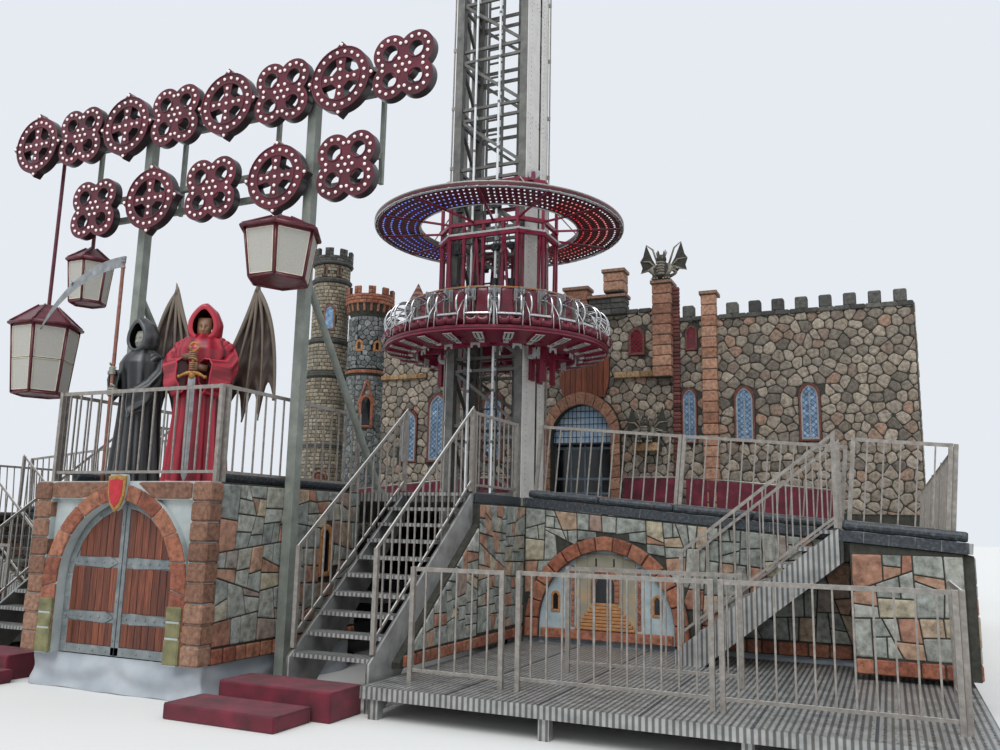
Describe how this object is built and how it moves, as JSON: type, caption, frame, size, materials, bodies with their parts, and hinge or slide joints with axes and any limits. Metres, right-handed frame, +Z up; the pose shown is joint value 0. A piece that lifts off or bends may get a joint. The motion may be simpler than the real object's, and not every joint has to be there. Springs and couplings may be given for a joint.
{
  "type": "drop tower ride",
  "caption": "Travelling drop tower ride: lattice mast, round gondola with hinged seat restraints, and a raised deck dressed as a stone fortress.",
  "frame": {"origin": "middle of the mast's ground pad, at ground level", "axes": "+Z up along the mast; -Y is the front with the gate; +X is to the right as seen from the front"},
  "size_m": [17.2598, 16.61, 34.24],
  "materials": {
    "steel": "galvanised",
    "plate": "satin",
    "frame_paint": "satin",
    "red_paint": "gloss",
    "maroon_shell": "gloss",
    "light": "clear",
    "deck_plate": "chequered",
    "log": "moulded",
    "stone_shell": "moulded",
    "door_board": "moulded",
    "carpet": "carpet",
    "skirt_cloth": "woven",
    "robe": "satin",
    "dark_robe": "satin",
    "clear_board": "clear",
    "bar": "polished",
    "tray": "cast",
    "roller": "moulded"
  },
  "bodies": {
    "structure": {"base_frame": "frame_paint", "mast_columns": "steel", "mast_lattice": "steel", "mast_side_lattice": "steel", "side_plates": "plate", "mast_head": "steel", "ladder": "steel", "light_tubes": "light", "main_deck": "deck_plate", "deck_logs": "log", "gate_wall": "stone_shell", "gate_doors": "door_board", "stone_walls": "stone_shell", "stair_flights": "deck_plate", "deck_rails": "steel", "low_fences": "steel", "low_decks": "deck_plate", "carpet_steps": "carpet", "skirts": "skirt_cloth", "sign_posts": "steel", "sign_ornaments": "maroon_shell", "lanterns": "maroon_shell", "winged_guard": "robe", "reaper_statue": "dark_robe", "castle_wall": "stone_shell", "castle_towers": "stone_shell"},
    "gondola": {"carriage_frame": "red_paint", "light_ring": "red_paint", "light_ring_stays": "steel", "seat_ring": "red_paint", "seat_backs": "maroon_shell", "seat_pans": "maroon_shell", "head_band": "clear_board", "light_trays": "tray", "carriage_legs": "red_paint", "guide_rollers": "roller"},
    "restraint_01": {"restraint_01": "bar"},
    "restraint_02": {"restraint_02": "bar"},
    "restraint_03": {"restraint_03": "bar"},
    "restraint_04": {"restraint_04": "bar"},
    "restraint_05": {"restraint_05": "bar"},
    "restraint_06": {"restraint_06": "bar"},
    "restraint_07": {"restraint_07": "bar"},
    "restraint_08": {"restraint_08": "bar"},
    "restraint_09": {"restraint_09": "bar"},
    "restraint_10": {"restraint_10": "bar"},
    "restraint_11": {"restraint_11": "bar"},
    "restraint_12": {"restraint_12": "bar"},
    "restraint_13": {"restraint_13": "bar"},
    "restraint_14": {"restraint_14": "bar"},
    "restraint_15": {"restraint_15": "bar"},
    "restraint_16": {"restraint_16": "bar"},
    "restraint_17": {"restraint_17": "bar"},
    "restraint_18": {"restraint_18": "bar"},
    "restraint_19": {"restraint_19": "bar"},
    "restraint_20": {"restraint_20": "bar"},
    "restraint_21": {"restraint_21": "bar"},
    "restraint_22": {"restraint_22": "bar"},
    "restraint_23": {"restraint_23": "bar"},
    "restraint_24": {"restraint_24": "bar"}
  },
  "joints": [
    {"name": "gondola_travel", "type": "slide", "parent": "structure", "child": "gondola", "axis": [0, 0, 1], "range_m": [-2.6, 22.6]},
    {"name": "lift_01", "type": "hinge", "parent": "gondola", "child": "restraint_01", "pos_m": [0, -1.92, 6.14], "axis": [-1, 0, 0], "range_deg": [0, 60]},
    {"name": "lift_02", "type": "hinge", "parent": "gondola", "child": "restraint_02", "pos_m": [0.49693, -1.85458, 6.14], "axis": [-0.9659, -0.2588, 0], "range_deg": [0, 60]},
    {"name": "lift_03", "type": "hinge", "parent": "gondola", "child": "restraint_03", "pos_m": [0.96, -1.66277, 6.14], "axis": [-0.866, -0.5, 0], "range_deg": [0, 60]},
    {"name": "lift_04", "type": "hinge", "parent": "gondola", "child": "restraint_04", "pos_m": [1.35764, -1.35764, 6.14], "axis": [-0.7071, -0.7071, 0], "range_deg": [0, 60]},
    {"name": "lift_05", "type": "hinge", "parent": "gondola", "child": "restraint_05", "pos_m": [1.66277, -0.96, 6.14], "axis": [-0.5, -0.866, 0], "range_deg": [0, 60]},
    {"name": "lift_06", "type": "hinge", "parent": "gondola", "child": "restraint_06", "pos_m": [1.85458, -0.49693, 6.14], "axis": [-0.2588, -0.9659, 0], "range_deg": [0, 60]},
    {"name": "lift_07", "type": "hinge", "parent": "gondola", "child": "restraint_07", "pos_m": [1.92, 0, 6.14], "axis": [0, -1, 0], "range_deg": [0, 60]},
    {"name": "lift_08", "type": "hinge", "parent": "gondola", "child": "restraint_08", "pos_m": [1.85458, 0.49693, 6.14], "axis": [0.2588, -0.9659, 0], "range_deg": [0, 60]},
    {"name": "lift_09", "type": "hinge", "parent": "gondola", "child": "restraint_09", "pos_m": [1.66277, 0.96, 6.14], "axis": [0.5, -0.866, 0], "range_deg": [0, 60]},
    {"name": "lift_10", "type": "hinge", "parent": "gondola", "child": "restraint_10", "pos_m": [1.35764, 1.35764, 6.14], "axis": [0.7071, -0.7071, 0], "range_deg": [0, 60]},
    {"name": "lift_11", "type": "hinge", "parent": "gondola", "child": "restraint_11", "pos_m": [0.96, 1.66277, 6.14], "axis": [0.866, -0.5, 0], "range_deg": [0, 60]},
    {"name": "lift_12", "type": "hinge", "parent": "gondola", "child": "restraint_12", "pos_m": [0.49693, 1.85458, 6.14], "axis": [0.9659, -0.2588, 0], "range_deg": [0, 60]},
    {"name": "lift_13", "type": "hinge", "parent": "gondola", "child": "restraint_13", "pos_m": [0, 1.92, 6.14], "axis": [1, 0, 0], "range_deg": [0, 60]},
    {"name": "lift_14", "type": "hinge", "parent": "gondola", "child": "restraint_14", "pos_m": [-0.49693, 1.85458, 6.14], "axis": [0.9659, 0.2588, 0], "range_deg": [0, 60]},
    {"name": "lift_15", "type": "hinge", "parent": "gondola", "child": "restraint_15", "pos_m": [-0.96, 1.66277, 6.14], "axis": [0.866, 0.5, 0], "range_deg": [0, 60]},
    {"name": "lift_16", "type": "hinge", "parent": "gondola", "child": "restraint_16", "pos_m": [-1.35764, 1.35764, 6.14], "axis": [0.7071, 0.7071, 0], "range_deg": [0, 60]},
    {"name": "lift_17", "type": "hinge", "parent": "gondola", "child": "restraint_17", "pos_m": [-1.66277, 0.96, 6.14], "axis": [0.5, 0.866, 0], "range_deg": [0, 60]},
    {"name": "lift_18", "type": "hinge", "parent": "gondola", "child": "restraint_18", "pos_m": [-1.85458, 0.49693, 6.14], "axis": [0.2588, 0.9659, 0], "range_deg": [0, 60]},
    {"name": "lift_19", "type": "hinge", "parent": "gondola", "child": "restraint_19", "pos_m": [-1.92, 0, 6.14], "axis": [0, 1, 0], "range_deg": [0, 60]},
    {"name": "lift_20", "type": "hinge", "parent": "gondola", "child": "restraint_20", "pos_m": [-1.85458, -0.49693, 6.14], "axis": [-0.2588, 0.9659, 0], "range_deg": [0, 60]},
    {"name": "lift_21", "type": "hinge", "parent": "gondola", "child": "restraint_21", "pos_m": [-1.66277, -0.96, 6.14], "axis": [-0.5, 0.866, 0], "range_deg": [0, 60]},
    {"name": "lift_22", "type": "hinge", "parent": "gondola", "child": "restraint_22", "pos_m": [-1.35764, -1.35764, 6.14], "axis": [-0.7071, 0.7071, 0], "range_deg": [0, 60]},
    {"name": "lift_23", "type": "hinge", "parent": "gondola", "child": "restraint_23", "pos_m": [-0.96, -1.66277, 6.14], "axis": [-0.866, 0.5, 0], "range_deg": [0, 60]},
    {"name": "lift_24", "type": "hinge", "parent": "gondola", "child": "restraint_24", "pos_m": [-0.49693, -1.85458, 6.14], "axis": [-0.9659, 0.2588, 0], "range_deg": [0, 60]}
  ],
  "couplings": [
    {"joint": "lift_02", "follows": "lift_01", "ratio": 1},
    {"joint": "lift_03", "follows": "lift_01", "ratio": 1},
    {"joint": "lift_04", "follows": "lift_01", "ratio": 1},
    {"joint": "lift_05", "follows": "lift_01", "ratio": 1},
    {"joint": "lift_06", "follows": "lift_01", "ratio": 1},
    {"joint": "lift_07", "follows": "lift_01", "ratio": 1},
    {"joint": "lift_08", "follows": "lift_01", "ratio": 1},
    {"joint": "lift_09", "follows": "lift_01", "ratio": 1},
    {"joint": "lift_10", "follows": "lift_01", "ratio": 1},
    {"joint": "lift_11", "follows": "lift_01", "ratio": 1},
    {"joint": "lift_12", "follows": "lift_01", "ratio": 1},
    {"joint": "lift_13", "follows": "lift_01", "ratio": 1},
    {"joint": "lift_14", "follows": "lift_01", "ratio": 1},
    {"joint": "lift_15", "follows": "lift_01", "ratio": 1},
    {"joint": "lift_16", "follows": "lift_01", "ratio": 1},
    {"joint": "lift_17", "follows": "lift_01", "ratio": 1},
    {"joint": "lift_18", "follows": "lift_01", "ratio": 1},
    {"joint": "lift_19", "follows": "lift_01", "ratio": 1},
    {"joint": "lift_20", "follows": "lift_01", "ratio": 1},
    {"joint": "lift_21", "follows": "lift_01", "ratio": 1},
    {"joint": "lift_22", "follows": "lift_01", "ratio": 1},
    {"joint": "lift_23", "follows": "lift_01", "ratio": 1},
    {"joint": "lift_24", "follows": "lift_01", "ratio": 1}
  ]
}
